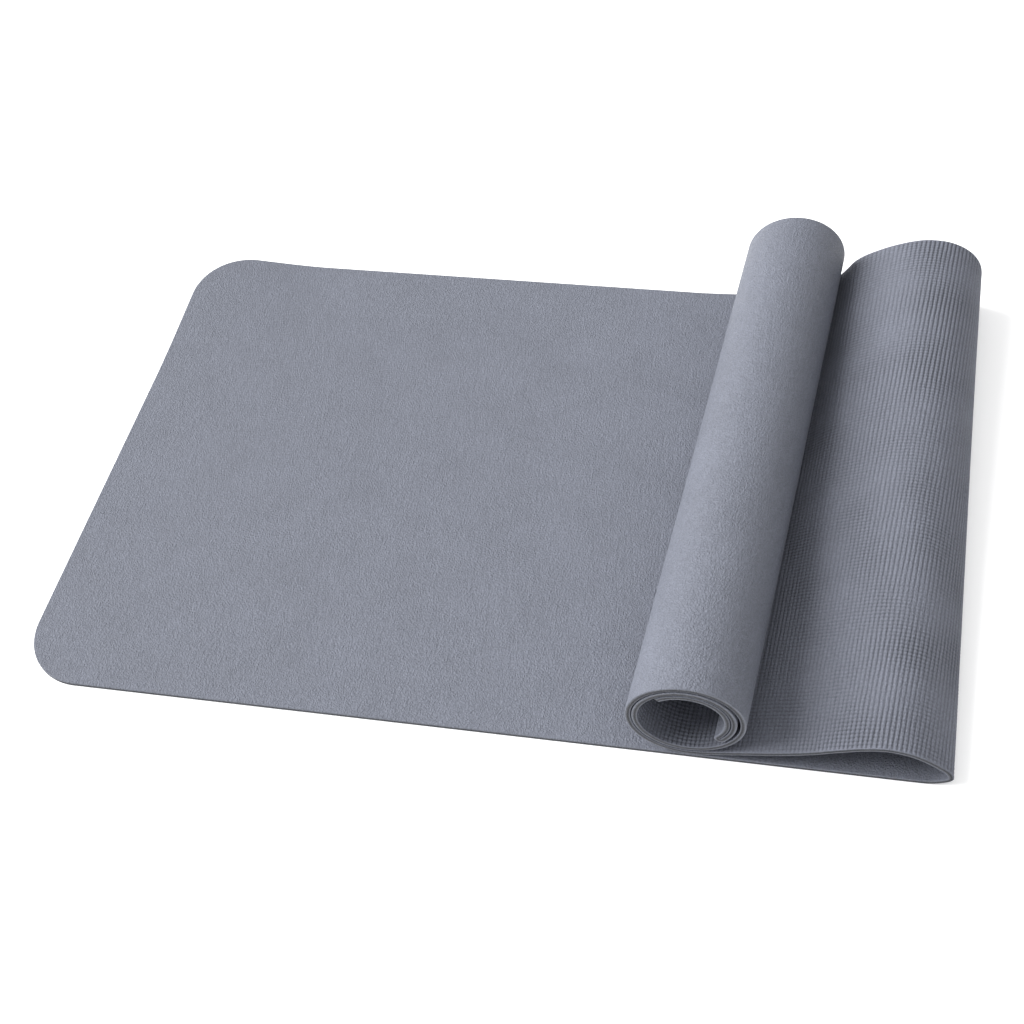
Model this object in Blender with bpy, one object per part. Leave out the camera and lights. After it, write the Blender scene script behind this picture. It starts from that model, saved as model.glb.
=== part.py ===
"""Exercise mat lying partly unrolled: a flat stretch, a fold back over itself and a loose roll.

The mat is one sheet of two bonded layers, a smooth cover and a base. Its side view is a chain of
straight stretches and arcs, walked from the free end that lies flat to the end inside the roll.
Each stretch of each layer is one object, and hinges across the sheet join the stretches. The fold
crosses the sheet a little askew, so what lies beyond it is turned by twice that angle.
Metres, +Z up, the flat stretch along X, the floor at zero.
"""

import math

import bmesh
import bpy
from mathutils import Vector

# The sheet.
mat_length = 1.83
mat_width = 0.60
cover_thickness = 0.0022
base_thickness = 0.0025
bond_gap = 0.0003
end_corner_radius = 0.065
inner_corner_radius = 0.006

# How it lies.
fold_height = 0.076
roll_diameter = 0.1125
roll_to_fold = 0.2086
turn_gap = 0.0019
turned_end_gap = 0.0010
joint_gap = 0.0003
rest_gap = 0.0003
straight_into_roll = 0.036
fold_skew = math.radians(2.42)

# The angle that the roll winds through before its end turns back, in whole circles, and how much
# more the winding tightens on the roll's left side than on its right.
wound_turns = 1.925
lean_share = 0.27

# How many rigid stretches stand for each bend, and the sampling of the bends and round corners.
fold_pieces = 6
roll_pieces = 12
turned_pieces = 3
steps_per_circle = 56
corner_steps = 10
least_bend_steps = 3
twisted_step = 0.012

cover_colour = (0.262, 0.279, 0.330, 1.0)
base_colour = (0.235, 0.250, 0.298, 1.0)

thickness = cover_thickness + bond_gap + base_thickness
half_thickness = thickness / 2
fold_radius = fold_height / 2 - half_thickness
roll_radius = roll_diameter / 2 - half_thickness
turn_pitch = thickness + turn_gap
turned_end_shift = thickness + turned_end_gap

# How far a line across the sheet runs along X for each metre along Y, in the fold and in the roll.
fold_lean = math.tan(fold_skew)
roll_lean = math.tan(2 * fold_skew)


def clear_scene():
    for item in list(bpy.data.objects):
        bpy.data.objects.remove(item, do_unlink=True)


def material(name, colour, roughness):
    made = bpy.data.materials.new(name)
    made.use_nodes = True
    shader = made.node_tree.nodes["Principled BSDF"]
    shader.inputs["Base Color"].default_value = colour
    shader.inputs["Roughness"].default_value = roughness
    shader.inputs["Metallic"].default_value = 0.0
    made.diffuse_color = colour
    return made


def slope_to_roll():
    """The slope of the stretch between fold and roll, and the length of that stretch."""
    across = roll_to_fold - fold_radius - half_thickness
    roll_middle = thickness + rest_gap + half_thickness + roll_radius
    rise = roll_middle - (half_thickness + fold_radius)
    between = math.hypot(across, rise)
    radii = fold_radius + roll_radius
    slope = math.asin(radii / between) - math.atan2(rise, across)
    return slope, math.sqrt(between**2 - radii**2)


def roll_radii(slope, turn):
    """The radius of each arc of the roll, which tightens by one pitch in a full circle."""
    radii = [roll_radius]
    for boundary in range(1, roll_pieces):
        place = -math.pi / 2 + slope - turn * boundary
        lean = 1 - lean_share * math.cos(place)
        radii.append(radii[-1] - turn_pitch * turn / math.tau * lean)
    return radii


def stretches():
    """Every stretch of the sheet, as a name and the runs in it, each a length and a turn to the left."""
    slope, sloping = slope_to_roll()
    fold_turn = (math.pi + slope) / fold_pieces
    roll_turn = math.tau * wound_turns / roll_pieces
    radii = roll_radii(slope, roll_turn)
    made = []
    for number in range(fold_pieces):
        made.append((f"fold_{number + 1}", [(fold_radius * fold_turn, fold_turn)]))
    made.append(("upper", [(sloping - straight_into_roll, 0.0)]))
    for number, radius in enumerate(radii):
        runs = [(radius * roll_turn, -roll_turn)]
        if number == 0:
            runs.insert(0, (straight_into_roll, 0.0))
        made.append((f"roll_{number + 1:02d}", runs))
    made.append(("end_bend", [(turned_end_shift / 2 * math.pi, -math.pi)]))
    for number in range(turned_pieces):
        radius = radii[-1 - number] - turned_end_shift
        made.append((f"end_{number + 1}", [(radius * roll_turn, roll_turn)]))
    folded = sum(length for _, runs in made for length, _ in runs)
    return [("flat", [(mat_length - folded, 0.0)])] + made


class Walk:
    """A point and a heading in the side view, moved along the middle of the sheet."""

    def __init__(self, x, z, heading):
        self.x = x
        self.z = z
        self.heading = heading

    def moved(self, length, turn):
        """Where this leads after an arc of this length and turn."""
        if abs(turn) < 1e-9:
            x = self.x + length * math.cos(self.heading)
            z = self.z + length * math.sin(self.heading)
            return Walk(x, z, self.heading)
        radius = length / turn
        ahead = self.heading + turn
        x = self.x + radius * (math.sin(ahead) - math.sin(self.heading))
        z = self.z - radius * (math.cos(ahead) - math.cos(self.heading))
        return Walk(x, z, ahead)

    def beside(self, offset):
        """The point this far to the left of the heading, which is the cover's side."""
        x = self.x - offset * math.sin(self.heading)
        z = self.z + offset * math.cos(self.heading)
        return x, z


def lean_at(name, into, length):
    """How far a line across the sheet leans along X, this far into a stretch of this length."""
    if name == "flat":
        return fold_lean if into > length - joint_gap else 0.0
    if name.startswith("fold"):
        return fold_lean
    if name not in ("upper", "roll_01"):
        return roll_lean
    _, sloping = slope_to_roll()
    down = into
    if name == "roll_01":
        down += sloping - straight_into_roll
    return fold_lean + (roll_lean - fold_lean) * min(1.0, down / sloping)


def half_width(along):
    """Half the sheet's width this far from the end that lies flat."""
    corner = end_corner_radius
    near = along
    if along > mat_length / 2:
        corner = inner_corner_radius
        near = mat_length - along
    if near >= corner:
        return mat_width / 2
    inset = corner - max(0.0, near)
    return mat_width / 2 - corner + math.sqrt(corner**2 - inset**2)


def corner_stations(first, last):
    """Places along the sheet, between first and last, where its round corners are sampled."""
    found = []
    for step in range(corner_steps + 1):
        share = 1 - math.cos(math.pi / 2 * step / corner_steps)
        found.append(end_corner_radius * share)
        found.append(mat_length - inner_corner_radius * share)
    return [place for place in found if first < place < last]


def stations(name, runs, start, along):
    """One stretch sampled short of its ends by half the joint's gap, as (along, lean, walk)."""
    first = along
    last = along + sum(length for length, _ in runs)
    if along > 0:
        first += joint_gap / 2
    if last < mat_length - joint_gap:
        last -= joint_gap / 2
    places = {first, last}
    places.update(corner_stations(first, last))
    begin = along
    for length, turn in runs:
        end = begin + length
        steps = 1
        if turn:
            steps = max(least_bend_steps, round(steps_per_circle * abs(turn) / math.tau))
        elif name != "flat":
            steps = math.ceil(length / twisted_step)
        for step in range(steps + 1):
            place = begin + length * step / steps
            if first + joint_gap < place < last - joint_gap:
                places.add(place)
        begin = end
    sampled = []
    for place in sorted(places):
        walk = start
        left = place - along
        for length, turn in runs:
            share = min(1.0, max(0.0, left / length))
            walk = walk.moved(length * share, turn * share)
            left -= length * share
            if share < 1:
                break
        sampled.append((place, lean_at(name, place - along, end - along), walk))
    return sampled


def layer_mesh(name, sampled, low, high, pivot):
    """One layer of one stretch: a strip between two offsets from the sheet's middle, across its width."""
    mesh = bmesh.new()
    rows = []
    for along, lean, walk in sampled:
        side = half_width(along)
        row = []
        for offset, y in ((low, -side), (low, side), (high, side), (high, -side)):
            x, z = walk.beside(offset)
            row.append(mesh.verts.new(Vector((x + lean * y, y, z)) - pivot))
        rows.append(row)
    for before, after in zip(rows, rows[1:]):
        for corner in range(4):
            following = (corner + 1) % 4
            ring = [before[corner], before[following], after[following], after[corner]]
            if corner == 2:
                # Both faces of a layer are split from the front of one row to the back of the next.
                ring = ring[1:] + ring[:1]
            mesh.faces.new(ring[:3])
            mesh.faces.new((ring[0], ring[2], ring[3]))
    mesh.faces.new(rows[0])
    mesh.faces.new(reversed(rows[-1]))
    bmesh.ops.recalc_face_normals(mesh, faces=mesh.faces)
    for face in mesh.faces:
        face.smooth = abs(face.normal.y) < 0.5
    data = bpy.data.meshes.new(name)
    mesh.to_mesh(data)
    mesh.free()
    return data


def add_layer(name, sampled, low, high, pivot, finish):
    made = bpy.data.objects.new(name, layer_mesh(name, sampled, low, high, pivot))
    made.data.materials.append(finish)
    made.data.set_sharp_from_angle(angle=math.radians(30))
    made.location = pivot
    bpy.context.scene.collection.objects.link(made)


def hinge_point(name, start):
    """The axis about which a stretch turns: on the face that is outside the bend."""
    offset = half_thickness
    if name.startswith("fold") or name == "upper":
        offset = -half_thickness
    x, z = start.beside(offset)
    return Vector((x, 0.0, z))


def build():
    """Makes the objects and returns the pivot and mean heading of each stretch, in order."""
    clear_scene()
    cover_finish = material("cover_foam", cover_colour, 0.62)
    base_finish = material("base_foam", base_colour, 0.75)
    cover_low = half_thickness - cover_thickness
    base_high = base_thickness - half_thickness
    chain = stretches()
    flat_length = chain[0][1][0][0]
    extent = flat_length + fold_radius + half_thickness + fold_lean * mat_width / 2
    walk = Walk(-extent / 2, half_thickness, 0.0)
    along = 0.0
    pivot = Vector((0.0, 0.0, 0.0))
    pivots = {}
    layout = []
    for name, runs in chain:
        sampled = stations(name, runs, walk, along)
        if name.startswith("end"):
            # The turned-back end lies on the last turns of the roll and moves with them.
            number = int(name[-1]) if name[-1].isdigit() else 1
            pivot = pivots[f"roll_{roll_pieces + 1 - number:02d}"]
        elif name != "flat":
            pivot = hinge_point(name, walk)
        pivots[name] = pivot
        add_layer(name + "_cover", sampled, cover_low, half_thickness, pivot, cover_finish)
        add_layer(name + "_base", sampled, -half_thickness, base_high, pivot, base_finish)
        after = walk
        for length, turn in runs:
            after = after.moved(length, turn)
            along += length
        layout.append((name, pivot, walk, after))
        walk = after
    return layout


layout = build()
slope_at_rest, _ = slope_to_roll()
print("slope between fold and roll, degrees:", round(math.degrees(slope_at_rest), 3))
for stretch, axis, begins, ends in layout:
    chord = math.degrees(math.atan2(ends.z - begins.z, ends.x - begins.x))
    print(stretch, "axis", [round(value, 5) for value in axis], "lies at", round(chord, 3))
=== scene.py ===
import math

import bpy
import numpy as np
from mathutils import Matrix, Vector


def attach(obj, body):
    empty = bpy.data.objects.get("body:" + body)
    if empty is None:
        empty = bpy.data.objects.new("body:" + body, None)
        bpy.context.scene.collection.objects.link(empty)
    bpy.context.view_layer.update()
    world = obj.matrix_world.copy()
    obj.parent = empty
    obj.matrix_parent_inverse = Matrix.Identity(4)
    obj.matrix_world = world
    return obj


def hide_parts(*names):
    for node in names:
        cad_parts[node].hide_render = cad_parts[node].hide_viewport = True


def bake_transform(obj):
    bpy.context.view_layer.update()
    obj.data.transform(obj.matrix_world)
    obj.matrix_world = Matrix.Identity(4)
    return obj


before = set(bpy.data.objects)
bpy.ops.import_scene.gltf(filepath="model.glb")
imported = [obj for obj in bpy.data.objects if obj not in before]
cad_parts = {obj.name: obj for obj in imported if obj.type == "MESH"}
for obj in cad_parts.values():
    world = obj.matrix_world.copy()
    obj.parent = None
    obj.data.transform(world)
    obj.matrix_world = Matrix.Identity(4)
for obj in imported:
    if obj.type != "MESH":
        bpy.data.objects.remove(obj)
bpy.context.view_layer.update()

# The sheet and how it lies, in metres, the same sizes as the CAD model has.
mat_length = 1.83
mat_width = 0.60
cover_thickness = 0.0022
base_thickness = 0.0025
bond_gap = 0.0003
end_corner_radius = 0.065
inner_corner_radius = 0.006
fold_height = 0.076
roll_diameter = 0.1125
roll_to_fold = 0.2086
turn_gap = 0.0019
turned_end_gap = 0.0010
rest_gap = 0.0003
straight_into_roll = 0.036
fold_skew = math.radians(2.42)
wound_turns = 1.925
lean_share = 0.27
fold_pieces = 6
roll_pieces = 12
turned_pieces = 3

thickness = cover_thickness + bond_gap + base_thickness
half_thickness = thickness / 2
fold_radius = fold_height / 2 - half_thickness
roll_radius = roll_diameter / 2 - half_thickness
turn_pitch = thickness + turn_gap
turned_end_shift = thickness + turned_end_gap
fold_lean = math.tan(fold_skew)
roll_lean = math.tan(2 * fold_skew)

# The side view of the sheet's middle at its front and back edges, as points (x, z) from the flat
# stretch to the roll. They are measured on the fold's edges in the photograph, through the camera
# that add_camera places, and some are adjusted. The fold is low at the front, and at the
# back it is high and leans on the roll.
front_profile = (
    (0.4000, 0.0025), (0.4215, 0.0050), (0.4325, 0.0130), (0.4300, 0.0215), (0.4215, 0.0300),
    (0.4105, 0.0383), (0.3948, 0.0462), (0.3789, 0.0492), (0.3559, 0.0455), (0.3400, 0.0397),
    (0.3150, 0.0298), (0.2893, 0.0222), (0.2650, 0.0172),
)
back_profile = (
    (0.4199, 0.0027), (0.4395, 0.0075), (0.4510, 0.0190), (0.4549, 0.0400), (0.4520, 0.0560),
    (0.4448, 0.0684), (0.4306, 0.0799), (0.4181, 0.0850), (0.4043, 0.0870), (0.3930, 0.0867),
    (0.3800, 0.0839), (0.3690, 0.0802), (0.3560, 0.0747), (0.3437, 0.0683), (0.3325, 0.0612),
    (0.3240, 0.0535), (0.3180, 0.0445), (0.3110, 0.0345), (0.3020, 0.0250), (0.2950, 0.0190),
)
profile_run_in = 0.020
profile_run_out = 0.0106
profile_step = 0.0005
profile_samples = 40

# How the flat stretch departs from an even one: its back left corner is raised, and its back edge
# spreads toward the free end.
corner_lift = 0.0075
corner_lift_length = 0.16
corner_lift_width = 0.20
back_spread = 0.013
back_narrowing = 0.007

# How the pieces share the turns of the joints: how far a crease reaches, how much of each end of a
# fold's piece stays rigid, and the share of its joint's turn that a roll's piece has where it
# begins and lacks where it ends, so that it opens flat. The first of them has more turn to share.
crease_reach = 0.016
crease_inset = 0.002
rigid_end_share = 0.24
border_share = 0.25
first_roll_share = 0.772

# How the surfaces are sampled.
rim_radius = 0.0007
rim_step_shares = (0.0, 0.08, 0.3, 0.62)
flat_row = 0.0045
bend_row = 0.0009
least_row = 0.00004
corner_rows = 40
plain_columns = 110
shown_rib_columns = 700
hidden_rib_columns = 46
end_columns = 110
end_reach_share = 0.26
between_columns = 55
inner_columns = 13
rows_per_rib = 7
seen_gap = 0.00004
least_normal = 1e-12

# The ribs across the underside: their spacing, depth and unevenness.
rib_pitch = 0.0042
rib_depth = 0.00080
rib_sharpness = 3.0
rib_wander = 0.00025
rib_wave = 0.06
rib_short_wave = 0.013
rib_short_wave_share = 0.4
rib_strength_wave = 0.09
rib_strength_share = 0.78
rib_strength_change_share = 0.22
rib_strength_limits = (0.3, 1.2)
rib_fading_share = 0.35

# The weaker lines along the mat, in the same terms.
cross_pitch = 0.0037
cross_depth = 0.00046
cross_sharpness = 3.0
cross_wave = 0.05
cross_short_wave = 0.011
cross_short_wave_share = 0.5
cross_strength_wave = 0.07
cross_strength_share = 0.7
cross_strength_change_share = 0.45
cross_strength_limits = (0.0, 1.4)
cross_fade = 0.02
wave_length_limits = (0.6, 1.7)

# How far from the middle of the width the lines along the mat begin, for each kind of sampling.
everywhere = -mat_width
near_ends = (1 - end_reach_share) * mat_width / 2
nowhere = mat_width

# The look of each layer's foam.
cover_look = {
    "colour": (0.159, 0.170, 0.207),
    "roughness": 0.62,
    "grain_depth": 0.0013,
    "streak_depth": 0.00035,
    "painted_groove_shade": 1.0,
}
base_look = {
    "colour": (0.150, 0.160, 0.196),
    "roughness": 0.72,
    "grain_depth": 0.0009,
    "streak_depth": 0.00012,
    # Painted shade: the underside's grooves are darkened, standing in for the shade that falls in them.
    "painted_groove_shade": 0.34,
}

# The foam's pattern, in features to a metre, and how much darker or lighter each part of it is, with
# painted light on the rib tops and painted shade in the grooves and on the cut edges.
grain_scale = 520.0
cell_scale = 400.0
grain_bend_scale = 260.0
grain_bend = (0.0014, 0.0014, 0.0)
streak_scales = (330.0, 38.0, 330.0)
blotch_scale = 17.0
crease_width_share = 0.28
crease_height_share = 0.35
grain_middle = (0.32, 0.68)
noise_middle = (0.3, 0.7)
grain_shades = (0.84, 1.13)
blotch_shades = (0.95, 1.05)
crease_shades = (0.93, 1.02)
streak_shades = (0.965, 1.035)
# Painted light and shade on the underside: lighter rib tops and darker groove bottoms.
painted_rib_top_light = 1.06
# Painted shade: the cut edges are darker, standing in for the shade on them and between the layers.
painted_cut_edge_shade = 0.50
cut_edge_fade = 0.6
roughness_spread = 0.05
foam_gloss = 0.35

# The studio: the surrounding light, which is brighter overhead than from the sides, and the floor.
horizon_light = 0.22
zenith_light = 1.10
floor_reach = 30.0
floor_white = (0.93, 0.93, 0.93, 1.0)
floor_glow = 0.26
white = (1.0, 1.0, 1.0, 1.0)


def slope_to_roll():
    """The slope of the stretch between fold and roll, and the length of that stretch."""
    across = roll_to_fold - fold_radius - half_thickness
    roll_middle = thickness + rest_gap + half_thickness + roll_radius
    rise = roll_middle - (half_thickness + fold_radius)
    between = math.hypot(across, rise)
    radii = fold_radius + roll_radius
    slope = math.asin(radii / between) - math.atan2(rise, across)
    return slope, math.sqrt(between**2 - radii**2)


def roll_radii(slope, turn):
    """The radius of each arc of the roll, which tightens by one pitch in a full circle."""
    radii = [roll_radius]
    for boundary in range(1, roll_pieces):
        place = -math.pi / 2 + slope - turn * boundary
        lean = 1 - lean_share * math.cos(place)
        radii.append(radii[-1] - turn_pitch * turn / math.tau * lean)
    return radii


def stretches():
    """Every stretch of the sheet, as a name and the runs in it, each a length and a turn to the left."""
    slope, sloping = slope_to_roll()
    fold_turn = (math.pi + slope) / fold_pieces
    roll_turn = math.tau * wound_turns / roll_pieces
    radii = roll_radii(slope, roll_turn)
    made = []
    for number in range(fold_pieces):
        made.append((f"fold_{number + 1}", [(fold_radius * fold_turn, fold_turn)]))
    made.append(("upper", [(sloping - straight_into_roll, 0.0)]))
    for number, radius in enumerate(radii):
        runs = [(radius * roll_turn, -roll_turn)]
        if number == 0:
            runs.insert(0, (straight_into_roll, 0.0))
        made.append((f"roll_{number + 1:02d}", runs))
    made.append(("end_bend", [(turned_end_shift / 2 * math.pi, -math.pi)]))
    for number in range(turned_pieces):
        radius = radii[-1 - number] - turned_end_shift
        made.append((f"end_{number + 1}", [(radius * roll_turn, roll_turn)]))
    folded = sum(length for _, runs in made for length, _ in runs)
    return [("flat", [(mat_length - folded, 0.0)])] + made


class Path:
    """The side view of the sheet's middle, from the end that lies flat to the end inside the roll."""

    def __init__(self):
        chain = stretches()
        self.first = {}
        self.last = {}
        self.starts = []
        flat_length = chain[0][1][0][0]
        x = -(flat_length + fold_radius + half_thickness + fold_lean * mat_width / 2) / 2
        z = half_thickness
        heading = 0.0
        along = 0.0
        for name, runs in chain:
            self.first[name] = along
            for length, turn in runs:
                self.starts.append((along, x, z, heading, turn / length))
                x, z, heading = (float(v) for v in self.onward(x, z, heading, turn / length, length))
                along += length
            self.last[name] = along

    @staticmethod
    def onward(x, z, heading, bend, length):
        """The point and heading this far on, along an arc of this bend, or a line where it is zero."""
        ahead = heading + bend * length
        mid = (heading + ahead) / 2
        chord = length * np.sinc(bend * length / math.tau)
        return x + chord * np.cos(mid), z + chord * np.sin(mid), ahead

    def at(self, along):
        """Point and heading at each of these distances from the flat end."""
        along = np.asarray(along, float)
        table = np.array(self.starts)
        which = np.clip(np.searchsorted(table[:, 0], along, side="right") - 1, 0, len(table) - 1)
        start, x, z, heading, bend = np.moveaxis(table[which], -1, 0)
        return self.onward(x, z, heading, bend, along - start)

    def middle(self, name):
        return (self.first[name] + self.last[name]) / 2


path = Path()


def lean_at(along):
    """How far a line across the sheet leans along X: none at the flat end, most in the roll."""
    into_flat = np.clip(along / path.last["flat"], 0, 1)
    below = path.first["upper"]
    arc_start = path.first["roll_01"] + straight_into_roll
    down = eased((along - below) / (arc_start - below))
    return fold_lean * eased(into_flat) + (roll_lean - fold_lean) * down


def eased(share):
    """From zero to one with level ends."""
    share = np.clip(share, 0, 1)
    return share * share * (3 - 2 * share)


def waves(u, v, length, seed, count=6):
    """Smooth irregular waves of about this length, between about minus one and one."""
    random = np.random.default_rng(seed)
    total = np.zeros(np.broadcast(u, v).shape)
    for _ in range(count):
        turn = random.uniform(0, math.tau)
        pitch = length * random.uniform(*wave_length_limits)
        phase = random.uniform(0, math.tau)
        total += np.sin((u * math.cos(turn) + v * math.sin(turn)) * math.tau / pitch + phase)
    return total / math.sqrt(count)


def across_shift(along):
    """How far the line square across the mat leans from a row of points, for each metre across."""
    lean = lean_at(along)
    return np.minimum(lean, roll_lean - lean)


def half_width(along):
    """Half the sheet's width this far from the flat end, with its round corners."""
    near_end = along < mat_length / 2
    corner = np.where(near_end, end_corner_radius, inner_corner_radius)
    from_end = np.where(near_end, along, mat_length - along)
    inset = np.clip(corner - from_end, 0, corner)
    return mat_width / 2 - corner + np.sqrt(corner**2 - inset**2)


def to_outline(along, across):
    """How far a place on the sheet is from its outline."""
    near_end = along < mat_length / 2
    corner = np.where(near_end, end_corner_radius, inner_corner_radius)
    from_end = np.where(near_end, along, mat_length - along)
    in_length = corner - from_end
    in_width = np.abs(across) - (mat_width / 2 - corner)
    outside = np.hypot(np.maximum(in_length, 0), np.maximum(in_width, 0))
    return np.maximum(corner - outside - np.minimum(np.maximum(in_length, in_width), 0), 0)


def smooth_through(points):
    """Close points on a smooth curve through these, from the second to the last but one."""
    points = np.array(points)
    steps = np.linalg.norm(np.diff(points, axis=0), axis=1)[:, None]
    slopes = np.diff(points, axis=0) / steps
    headings = (slopes[1:] * steps[:-1] + slopes[:-1] * steps[1:]) / (steps[:-1] + steps[1:])
    share = np.linspace(0, 1, profile_samples, endpoint=False)[:, None]
    rising = share * share * (3 - 2 * share)
    leaving = share * (1 - share) ** 2
    arriving = share**2 * (1 - share)
    rows = []
    for place in range(1, len(points) - 2):
        start, end, reach = points[place], points[place + 1], steps[place]
        begin, finish = headings[place - 1] * reach, headings[place] * reach
        rows.append(start + (end - start) * rising + begin * leaving - finish * arriving)
    rows.append(points[-2:-1])
    return np.concatenate(rows)


def edge_profile(points, across):
    """The side view of the sheet's middle at a long edge, over the fold and down to the roll."""
    ends = []
    begins, stops = profile_start - profile_run_in, profile_end + profile_run_out
    for along in (begins, profile_start, profile_end, stops):
        x, z, _ = path.at(along)
        ends.append((float(x + lean_at(along) * across), float(z)))
    curve = smooth_through(ends[:2] + list(points) + ends[2:])
    curve[:, 1] = np.maximum(curve[:, 1], half_thickness)
    lengths = np.concatenate(([0], np.cumsum(np.linalg.norm(np.diff(curve, axis=0), axis=1))))
    wanted = np.linspace(0, lengths[-1], round((profile_end - profile_start) / profile_step) + 1)
    return np.stack([np.interp(wanted, lengths, curve[:, axis]) for axis in range(2)], 1)


profile_start = path.last["flat"] - profile_run_in
profile_end = path.first["roll_01"] + straight_into_roll + profile_run_out
front_edge = edge_profile(front_profile, -mat_width / 2)
back_edge = edge_profile(back_profile, mat_width / 2)
profile_places = np.linspace(profile_start, profile_end, len(front_edge))


def middle_and_heading(along, across):
    """Where the sheet's middle is in the side view, and which way it heads there."""
    x, z, heading = path.at(along)
    x = x + lean_at(along) * across
    share = np.clip(across / mat_width + 0.5, 0, 1)
    along = np.broadcast_to(along, share.shape)
    shaped = []
    for axis in range(2):
        for table in (front_edge[:, axis], back_edge[:, axis]):
            shaped.append(np.interp(along, profile_places, table))
            shaped.append(np.interp(along, profile_places, np.gradient(table)))
    front_x, front_run, back_x, back_run, front_z, front_rise, back_z, back_rise = shaped
    run = front_run + (back_run - front_run) * share
    rise = front_rise + (back_rise - front_rise) * share
    inside = (along > profile_start) & (along < profile_end)
    x = np.where(inside, front_x + (back_x - front_x) * share, x)
    z = np.where(inside, front_z + (back_z - front_z) * share, z)
    return x, z, np.where(inside, np.arctan2(rise, run), heading)


def corner_rise(along, across):
    """How far the back left corner stands off the floor."""
    toward_end = eased(1 - along / corner_lift_length)
    toward_back = eased((across - mat_width / 2 + corner_lift_width) / corner_lift_width)
    return corner_lift * toward_end * toward_back


def back_edge_shift(along, across):
    """How far the flat stretch spreads at its back edge, more toward its free end."""
    under_roll = path.last["flat"] - roll_to_fold - roll_radius
    share = 1 - along / under_roll
    shift = back_spread * share - back_narrowing * (1 - share)
    fading = eased((path.last["flat"] - along) / (path.last["flat"] - under_roll))
    return np.where(share > 0, shift, -back_narrowing * fading) * (across / mat_width + 0.5)


def laid(along, across, offset):
    """Points of the sheet where it lies, this far along and across it and above its middle."""
    x, z, heading = middle_and_heading(along, across)
    x = x - offset * np.sin(heading)
    z = z + offset * np.cos(heading) + corner_rise(along, across)
    return np.stack(np.broadcast_arrays(x, across + back_edge_shift(along, across), z), -1)


def rounded_rim(along, across):
    """How far the face is lowered next to the outline, where its edge is rounded."""
    inside = np.clip(to_outline(along, across) / rim_radius, 0, 1)
    return rim_radius * (1 - np.sqrt(1 - (1 - inside) ** 2))


def rib_grooves(square, across):
    """Depth of the grooves between the ribs across the mat."""
    short = rib_short_wave_share * waves(square, across, rib_short_wave, seed=4)
    wander = waves(square, across, rib_wave, seed=3) + short
    phase = np.cos((square + rib_wander * wander) * math.tau / rib_pitch)
    change = rib_strength_change_share * waves(square, across, rib_strength_wave, seed=7)
    strength = np.clip(rib_strength_share + change, *rib_strength_limits)
    return rib_depth * strength * (0.5 + 0.5 * phase) ** rib_sharpness


def cross_grooves(square, across):
    """Depth of the weaker grooves along the mat."""
    short = cross_short_wave_share * waves(square, across, cross_short_wave, seed=6)
    wander = waves(square, across, cross_wave, seed=5) + short
    phase = np.cos((across + rib_wander * wander) * math.tau / cross_pitch)
    change = cross_strength_change_share * waves(square, across, cross_strength_wave, seed=8)
    strength = np.clip(cross_strength_share + change, *cross_strength_limits)
    return cross_depth * strength * (0.5 + 0.5 * phase) ** cross_sharpness


def grooves(along, across, cross_from):
    """Depth of the underside's grooves, with those along the mat only this far from its middle."""
    square = along + across_shift(along) * across
    upper_length = path.last["upper"] - path.first["upper"]
    toward_roll = eased((along - path.first["upper"]) / upper_length)
    toward_roll = toward_roll * (along < path.first["roll_02"])
    ribs = (1 - rib_fading_share * toward_roll) * rib_grooves(square, across)
    crosses = eased((np.abs(across) - cross_from) / cross_fade) * cross_grooves(square, across)
    off_rim = np.clip((to_outline(along, across) - rim_radius) / rim_radius, 0, 1)
    return (ribs + crosses) * off_rim


class Piece:
    """A part of the mat's length: its ends, the bodies it follows and the stretches it replaces.

    The turns are two places along the mat, and the share of the joint's turn at each of them.
    """

    def __init__(self, name, first, last, bodies, replaced, turns=None):
        self.name = name
        self.first = first
        self.last = last
        self.bodies = bodies
        self.replaced = replaced
        self.turns = turns


def turned_within(first, last):
    """A full turn in the middle of a piece, which leaves both its ends rigid."""
    inset = (last - first) * rigid_end_share
    return (first + inset, last - inset, 0.0, 1.0)


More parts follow.
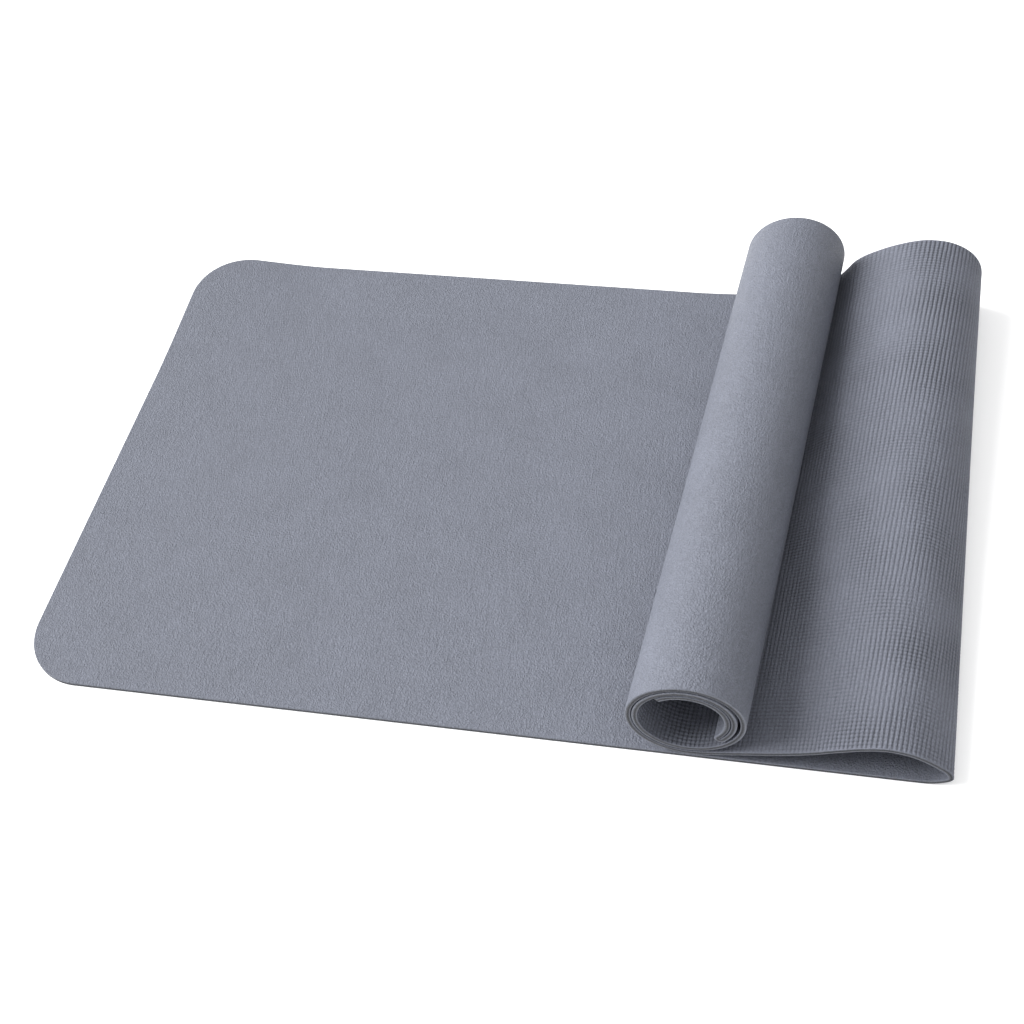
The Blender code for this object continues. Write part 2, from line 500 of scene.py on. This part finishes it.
def mat_pieces():
    """Pieces cut at the middles of the rigid stretches, so that each spans at most one joint."""
    fold_start = path.first["fold_1"]
    upper_start = path.first["upper"]
    crease = path.first["roll_01"]
    arc_start = crease + straight_into_roll
    middle = path.middle
    even = (border_share, 1 - border_share)
    made = [Piece("flat", 0.0, fold_start - crease_reach, ["flat"], ["flat"])]
    turns = turned_within(made[-1].last, middle("fold_1"))
    made.append(Piece("fold_1", made[-1].last, middle("fold_1"), ["flat", "fold_1"], ["fold_1"], turns))
    for number in range(2, fold_pieces + 1):
        before, after = f"fold_{number - 1}", f"fold_{number}"
        turns = turned_within(middle(before), middle(after))
        made.append(Piece(after, middle(before), middle(after), [before, after], [after], turns))
    before = f"fold_{fold_pieces}"
    fold_end = upper_start + crease_reach
    turns = turned_within(middle(before), fold_end)
    made.append(Piece("fold_end", middle(before), fold_end, [before, "upper"], [], turns))
    made.append(Piece("upper", made[-1].last, crease - crease_reach, ["upper"], ["upper"]))
    turns = (crease - crease_reach + crease_inset, crease + crease_reach - crease_inset, 0.0, 1.0)
    made.append(Piece("crease", made[-1].last, crease + crease_reach, ["upper", "roll_01"], [], turns))
    made.append(Piece("roll_01", made[-1].last, arc_start, ["roll_01"], ["roll_01"]))
    turns = (arc_start, middle("roll_02"), 0.0, first_roll_share)
    bodies = ["roll_01", "roll_02"]
    made.append(Piece("roll_02", arc_start, middle("roll_02"), bodies, ["roll_02"], turns))
    for number in range(3, roll_pieces + 1):
        before, after = f"roll_{number - 1:02d}", f"roll_{number:02d}"
        shares = even if number < roll_pieces else (border_share, 1.0)
        turns = (middle(before), middle(after)) + shares
        made.append(Piece(after, middle(before), middle(after), [before, after], [after], turns))
    last, before_last, third_last = (f"roll_{roll_pieces - back:02d}" for back in range(3))
    made.append(Piece("end_bend", middle(last), middle("end_1"), [last], ["end_bend", "end_1"]))
    turns = (middle("end_1"), middle("end_2"), 0.0, 1 - border_share)
    made.append(Piece("end_2", middle("end_1"), middle("end_2"), [last, before_last], ["end_2"], turns))
    turns = (middle("end_2"), middle("end_3")) + even
    bodies = [before_last, third_last]
    made.append(Piece("end_3", middle("end_2"), mat_length, bodies, ["end_3"], turns))
    return made


def row_places(pieces, finest):
    """Places along the sheet of its rows of points, with a row at each end of each piece."""
    straight = path.last["flat"]
    places = []
    for piece in pieces:
        step = min(finest, flat_row if piece.last < straight else bend_row)
        count = math.ceil((piece.last - piece.first) / step)
        places.extend(np.linspace(piece.first, piece.last, count + 1))
    for rim in rim_step_shares:
        places.extend((rim * rim_radius, mat_length - rim * rim_radius))
    for row in range(corner_rows):
        share = 1 - math.cos(math.pi / 2 * row / corner_rows)
        places.extend((end_corner_radius * share, mat_length - inner_corner_radius * share))
    cuts = np.array([piece.first for piece in pieces] + [mat_length])
    kept = [0.0]
    for place in sorted(places)[1:]:
        at_cut = np.min(np.abs(cuts - place)) < least_row
        if at_cut:
            place = cuts[np.argmin(np.abs(cuts - place))]
        if place - kept[-1] > least_row:
            kept.append(place)
        elif at_cut:
            kept[-1] = place
    return np.array(kept)


def close_at_ends():
    """Shares of the half width with close columns near both long edges and few between them."""
    near = np.linspace(1 - end_reach_share, 1, end_columns)
    between = np.linspace(end_reach_share - 1, 1 - end_reach_share, between_columns)
    return np.concatenate((-near[::-1], between[1:-1], near))


class LayerGrid:
    """One layer's outer face with its cut edges, and its inner face, as rows and columns of points.

    A place is the distance along the mat, square to its width, then across it and off its middle.
    """

    def __init__(self, side, places, columns, cross_from=None):
        along = np.concatenate(([0.0], places, [mat_length]))[:, None]
        half = half_width(along)
        rim = rim_radius * np.array(rim_step_shares)
        inner = columns * (half - rim_radius)
        across = np.concatenate((-half, rim - half, inner, half - rim[::-1], half), 1)
        inner_level = half_thickness - cover_thickness
        depth = rounded_rim(along, across)
        if side < 0:
            inner_level = inner_level - seen_gap
            depth = depth + grooves(along, across, cross_from)
        offset = side * (half_thickness - depth)
        offset[0, :] = offset[-1, :] = inner_level
        offset[:, 0] = offset[:, -1] = inner_level
        edge = np.zeros(across.shape)
        edge[0, :] = edge[-1, :] = edge[:, 0] = edge[:, -1] = 1
        square = along + across_shift(along) * across
        self.side = side
        self.along = along[:, 0]
        self.columns = across.shape[1]
        self.picked = np.linspace(0, self.columns - 1, inner_columns).round().astype(int)
        self.points = laid(along, across, offset)
        down = np.gradient(self.points, axis=0)
        over = np.gradient(self.points, axis=1)
        self.normals = side * np.cross(down, over)
        self.inside = laid(along, across, np.full(across.shape, inner_level))
        self.places = np.stack((square, across, offset), -1)
        self.edge = edge[:, :, None]

    def rows_between(self, first, last):
        """The rows of the outer and the inner face between these places along the mat."""
        top = int(np.searchsorted(self.along[1:-1], first - least_row / 2)) + 1
        bottom = int(np.searchsorted(self.along[1:-1], last - least_row / 2)) + 1
        inner_top, inner_bottom = top, bottom
        if top == 1:
            top, inner_top = 0, 2
        if bottom == len(self.along) - 2:
            bottom, inner_bottom = bottom + 1, bottom - 1
        return slice(top, bottom + 1), slice(inner_top, inner_bottom + 1)

    def numbered(self, outer, inner):
        """A number for each point of both faces, which share the points of the long edges."""
        number = np.arange((outer.stop - outer.start) * self.columns).reshape(-1, self.columns)
        inner_number = np.arange((inner.stop - inner.start) * inner_columns) + number.size
        inner_number = inner_number.reshape(-1, inner_columns)
        shared = slice(inner.start - outer.start, inner.stop - outer.start)
        inner_number[:, 0] = number[shared, 0]
        inner_number[:, -1] = number[shared, -1]
        if outer.start == 0:
            number[1, 0] = number[0, 1] = number[0, 0]
            number[1, -1] = number[0, -2] = number[0, -1]
        if outer.stop == len(self.along):
            number[-2, 0] = number[-1, 1] = number[-1, 0]
            number[-2, -1] = number[-1, -2] = number[-1, -1]
        return number, inner_number

    def listed(self, outer_values, inner_values, outer, inner):
        """Values at the points of both faces as one list, in the order of their numbers."""
        kinds = outer_values.shape[-1]
        outer_list = outer_values[outer].reshape(-1, kinds)
        inner_list = inner_values[inner, self.picked].reshape(-1, kinds)
        return np.concatenate((outer_list, inner_list))


def grid_faces(number, turned):
    """The faces between the rows and columns of numbered points."""
    corners = (number[:-1, :-1], number[1:, :-1], number[1:, 1:], number[:-1, 1:])
    rings = np.stack(corners, -1).reshape(-1, 4)
    return (rings[:, ::-1] if turned else rings).tolist()


def end_faces(outer_row, inner_row, picked, turned):
    """The faces that close a piece between an end row of its outer face and of its inner one."""
    faces = []
    for place, (left, right) in enumerate(zip(picked, picked[1:])):
        ring = outer_row[left:right + 1].tolist() + [inner_row[place + 1], inner_row[place]]
        faces.append(ring if turned else ring[::-1])
    return faces


def piece_faces(grid, number, inner_number):
    """All the faces of a piece, without repeated corners and without faces that have no area."""
    cover = grid.side > 0
    faces = grid_faces(number, not cover) + grid_faces(inner_number, cover)
    faces += end_faces(number[0], inner_number[0], grid.picked, cover)
    faces += end_faces(number[-1], inner_number[-1], grid.picked, not cover)
    faces = [list(dict.fromkeys(int(corner) for corner in ring)) for ring in faces]
    return [ring for ring in faces if len(ring) > 2]


def store(mesh, name, kind, key, values):
    """Keeps a value at each point of a mesh, for its material to read."""
    stored = mesh.attributes.new(name, kind, "POINT")
    stored.data.foreach_set(key, values.ravel())


def sheet_part(name, grid, first, last):
    """One piece of one layer as a closed mesh, whose faces carry the whole layer's normals."""
    rows = grid.rows_between(first, last)
    faces = piece_faces(grid, *grid.numbered(*rows))
    points = grid.listed(grid.points, grid.inside, *rows)
    normals = grid.listed(grid.normals, -grid.normals, *rows)
    used = np.unique(np.concatenate([np.array(ring) for ring in faces]))
    renumber = np.zeros(len(points), int)
    renumber[used] = np.arange(len(used))
    mesh = bpy.data.meshes.new(name)
    mesh.from_pydata(points[used].tolist(), [], [renumber[ring].tolist() for ring in faces])
    mesh.shade_smooth()
    lengths = np.linalg.norm(normals[used], axis=1, keepdims=True)
    even_normals = normals[used] / np.maximum(lengths, least_normal)
    mesh.normals_split_custom_set_from_vertices(even_normals.tolist())
    places = grid.listed(grid.places, grid.places, *rows)
    store(mesh, "place_on_mat", "FLOAT_VECTOR", "vector", places[used])
    # Marks the cut edges, which the material darkens with painted shade.
    edges = grid.listed(grid.edge, grid.edge, *rows)
    store(mesh, "at_cut_edge", "FLOAT", "value", edges[used])
    made = bpy.data.objects.new(name, mesh)
    bpy.context.scene.collection.objects.link(made)
    return made


def unease(weight):
    """The share at which the smooth step reaches this weight."""
    return 0.5 - math.sin(math.asin(1 - 2 * weight) / 3)


def middle_point(along, across=0.0):
    """A point of the sheet's middle where it lies."""
    return laid(np.array([along]), np.array([across]), 0.0)[0]


def blend_ends(piece):
    """Where a piece starts and ends its turn, to have the wanted weights at the places given."""
    first, last, weight_first, weight_last = piece.turns
    begin, end = middle_point(first), middle_point(last)
    halfway = (first + last) / 2
    ruling = middle_point(halfway, mat_width / 2) - middle_point(halfway, -mat_width / 2)
    ruling /= np.linalg.norm(ruling)
    reach = end - begin
    reach -= ruling * reach.dot(ruling)
    share_first, share_last = unease(weight_first), unease(weight_last)
    whole = reach / (share_last - share_first)
    start = begin - whole * share_first
    return tuple(start.tolist()), tuple((start + whole).tolist())


def flat_area(piece):
    """A piece's area when flat, less the two round corners at the free end."""
    area = mat_width * (piece.last - piece.first)
    if piece.first == 0:
        area -= 2 * (1 - math.pi / 4) * end_corner_radius**2
    return area


def add_layer(layer, pieces, finish, grid_of):
    """All the pieces of one layer: a piece without a turn rides its body, and one with a turn stays
    where it is made.
    """
    for piece in pieces:
        name = f"mat_{layer}_{piece.name}"
        made = sheet_part(name, grid_of(piece), piece.first, piece.last)
        made.data.materials.append(finish)
        if piece.turns:
            start, end = blend_ends(piece)
            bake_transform(made)
        else:
            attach(made, piece.bodies[0])
        for stretch in piece.replaced:
            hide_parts(f"{stretch}_{layer}")
        flat_area(piece)


class Nodes:
    """A material's node tree, with short calls that add and link its nodes."""

    def __init__(self, name):
        self.material = bpy.data.materials.new(name)
        self.material.use_nodes = True
        self.tree = self.material.node_tree
        self.shader = self.tree.nodes["Principled BSDF"]

    def add(self, kind, inputs, **settings):
        node = self.tree.nodes.new(kind)
        for key, value in settings.items():
            setattr(node, key, value)
        for key, value in inputs.items():
            self.join(value, node.inputs[key])
        return node

    def join(self, value, socket):
        if isinstance(value, bpy.types.NodeSocket):
            self.tree.links.new(value, socket)
        else:
            socket.default_value = value

    def math(self, operation, first, second=0.0):
        return self.add("ShaderNodeMath", {0: first, 1: second}, operation=operation).outputs[0]

    def noise(self, vector, scale, detail, roughness):
        inputs = {"Vector": vector, "Scale": scale, "Detail": detail, "Roughness": roughness}
        return self.add("ShaderNodeTexNoise", inputs).outputs["Fac"]

    def attribute(self, name, output):
        return self.add("ShaderNodeAttribute", {}, attribute_name=name).outputs[output]

    def ranged(self, value, given, wanted):
        """A value that runs between the wanted ends where the first one runs between the given."""
        inputs = {"Value": value, "From Min": given[0], "From Max": given[1]}
        inputs.update({"To Min": wanted[0], "To Max": wanted[1]})
        return self.add("ShaderNodeMapRange", inputs).outputs[0]

    def product(self, values):
        total = values[0]
        for value in values[1:]:
            total = self.math("MULTIPLY", total, value)
        return total

    def vector(self, operation, inputs):
        return self.add("ShaderNodeVectorMath", inputs, operation=operation).outputs[0]

    def bump(self, height, distance, normal=None):
        inputs = {"Height": height, "Distance": distance, "Strength": 1.0}
        if normal:
            inputs["Normal"] = normal
        return self.add("ShaderNodeBump", inputs).outputs[0]


def bent_place(nodes, place):
    """The place on the mat moved a little here and there, so that the grain looks grown."""
    inputs = {"Vector": place, "Scale": grain_bend_scale, "Detail": 1.0}
    shift = nodes.add("ShaderNodeTexNoise", inputs).outputs["Color"]
    return nodes.vector("ADD", {0: nodes.vector("MULTIPLY", {0: shift, 1: grain_bend}), 1: place})


def cell_creases(nodes, place):
    """Zero in the creases between the grain's cells, and one on the cells."""
    inputs = {"Vector": place, "Scale": cell_scale}
    cells = nodes.add("ShaderNodeTexVoronoi", inputs, feature="DISTANCE_TO_EDGE")
    return nodes.ranged(cells.outputs["Distance"], (0.0, crease_width_share), (0.0, 1.0))


def foam(name, colour, roughness, grain_depth, streak_depth, painted_groove_shade):
    """Closed-cell foam: a leather-like grain, streaks across the mat, blotches of colour, and painted
    light and shade on the ribs and cut edges.
    """
    nodes = Nodes(name)
    shader = nodes.shader
    place = nodes.attribute("place_on_mat", "Vector")
    bent = bent_place(nodes, place)
    grain = nodes.noise(bent, grain_scale, detail=3.0, roughness=0.62)
    creases = cell_creases(nodes, bent)
    drawn_out = nodes.vector("MULTIPLY", {0: place, 1: streak_scales})
    streaks = nodes.noise(drawn_out, 1.0, detail=2.0, roughness=0.55)
    blotches = nodes.noise(place, blotch_scale, detail=4.0, roughness=0.6)
    height = nodes.math("ADD", grain, nodes.math("MULTIPLY", creases, crease_height_share))
    normal = nodes.bump(streaks, streak_depth, nodes.bump(height, grain_depth))
    off_middle = nodes.add("ShaderNodeSeparateXYZ", {0: place}).outputs["Z"]
    groove_bottom = rib_depth + cross_depth - half_thickness
    at_edge = nodes.attribute("at_cut_edge", "Fac")
    shade = nodes.product((
        nodes.ranged(grain, grain_middle, grain_shades),
        nodes.ranged(blotches, noise_middle, blotch_shades),
        nodes.ranged(creases, (0.0, 1.0), crease_shades),
        nodes.ranged(streaks, noise_middle, streak_shades),
        # Painted light and shade: lighter on the rib tops and darker down in the grooves.
        nodes.ranged(off_middle, (-half_thickness, groove_bottom), (painted_rib_top_light, painted_groove_shade)),
        # Painted shade: the cut edges are darkened.
        nodes.ranged(at_edge, (0.0, cut_edge_fade), (1.0, painted_cut_edge_shade)),
    ))
    nodes.join(nodes.vector("SCALE", {0: colour, "Scale": shade}), shader.inputs["Base Color"])
    nodes.join(normal, shader.inputs["Normal"])
    roughnesses = (roughness - roughness_spread, roughness + roughness_spread)
    nodes.join(nodes.ranged(blotches, noise_middle, roughnesses), shader.inputs["Roughness"])
    shader.inputs["Specular IOR Level"].default_value = foam_gloss
    return nodes.material


def add_floor():
    """A white floor that glows a little, which keeps the mat's shadows on it pale."""
    mesh = bpy.data.meshes.new("studio_floor")
    corners = []
    for x, y in ((-1, -1), (1, -1), (1, 1), (-1, 1)):
        corners.append((x * floor_reach, y * floor_reach, 0.0))
    mesh.from_pydata(corners, [], [(0, 1, 2, 3)])
    floor = bpy.data.objects.new("studio_floor", mesh)
    bpy.context.scene.collection.objects.link(floor)
    nodes = Nodes("studio_white")
    nodes.shader.inputs["Base Color"].default_value = floor_white
    nodes.shader.inputs["Roughness"].default_value = 1.0
    nodes.shader.inputs["Specular IOR Level"].default_value = 0.0
    nodes.shader.inputs["Emission Color"].default_value = white
    nodes.shader.inputs["Emission Strength"].default_value = floor_glow
    mesh.materials.append(nodes.material)


def add_key_light():
    """A soft light from the left of the picture."""
    key = bpy.data.lights.new("key_light", "SUN")
    key.energy = 4.9
    key.angle = math.radians(46)
    lamp = bpy.data.objects.new("key_light", key)
    toward = Vector((-1.35, 0.02, 1.0))
    lamp.rotation_euler = toward.to_track_quat("Z", "Y").to_euler()
    bpy.context.scene.collection.objects.link(lamp)


def add_surroundings():
    """White light from all round, weakest from the horizon and strongest from overhead."""
    world = bpy.data.worlds.new("studio")
    world.use_nodes = True
    tree = world.node_tree
    background = tree.nodes["Background"]
    background.inputs["Color"].default_value = white
    direction = tree.nodes.new("ShaderNodeTexCoord").outputs["Generated"]
    height = tree.nodes.new("ShaderNodeSeparateXYZ")
    tree.links.new(direction, height.inputs[0])
    rising = tree.nodes.new("ShaderNodeMapRange")
    rising.inputs["To Min"].default_value = horizon_light
    rising.inputs["To Max"].default_value = zenith_light
    tree.links.new(height.outputs["Z"], rising.inputs["Value"])
    tree.links.new(rising.outputs[0], background.inputs["Strength"])
    bpy.context.scene.world = world
    bpy.context.scene.view_settings.view_transform = "Standard"


def add_camera():
    """The photograph's viewpoint, worked out from the mat's edges, its round corners and the roll."""
    place = Vector((0.30644, -0.90648, 1.12216))
    pitch = math.radians(50.7064)
    yaw = math.radians(-19.6849)
    roll = math.radians(-10.8729)
    flat_forward = Vector((math.sin(yaw), math.cos(yaw), 0.0))
    forward = flat_forward * math.cos(pitch) - Vector((0.0, 0.0, math.sin(pitch)))
    level = Vector((math.cos(yaw), -math.sin(yaw), 0.0))
    above = level.cross(forward)
    right = math.cos(roll) * level + math.sin(roll) * above
    up = math.cos(roll) * above - math.sin(roll) * level
    data = bpy.data.cameras.new("camera")
    data.lens = 49.405
    data.sensor_width = 36.0
    data.clip_start = 0.01
    data.clip_end = 200.0
    camera = bpy.data.objects.new("camera", data)
    turn = Matrix((right, up, -forward)).transposed()
    camera.matrix_world = Matrix.Translation(place) @ turn.to_4x4()
    bpy.context.scene.collection.objects.link(camera)
    bpy.context.scene.camera = camera


def even_columns(count):
    return np.linspace(-1, 1, count)


def base_grid(piece):
    """The closely sampled grid where the underside is turned up, and coarser ones elsewhere."""
    if piece.first < path.last["flat"] - crease_reach:
        return hidden_base
    return shown_base if piece.first < path.first["roll_02"] else rolled_base


add_camera()
pieces = mat_pieces()
cover = LayerGrid(1, row_places(pieces, flat_row), even_columns(plain_columns))
rib_rows = row_places(pieces, rib_pitch / rows_per_rib)
shown_base = LayerGrid(-1, rib_rows, even_columns(shown_rib_columns), everywhere)
rolled_base = LayerGrid(-1, rib_rows, close_at_ends(), near_ends)
hidden_base = LayerGrid(-1, rib_rows, even_columns(hidden_rib_columns), nowhere)
add_layer("cover", pieces, foam("cover_foam_finish", **cover_look), lambda piece: cover)
add_layer("base", pieces, foam("base_foam_finish", **base_look), base_grid)
add_floor()
add_key_light()
add_surroundings()
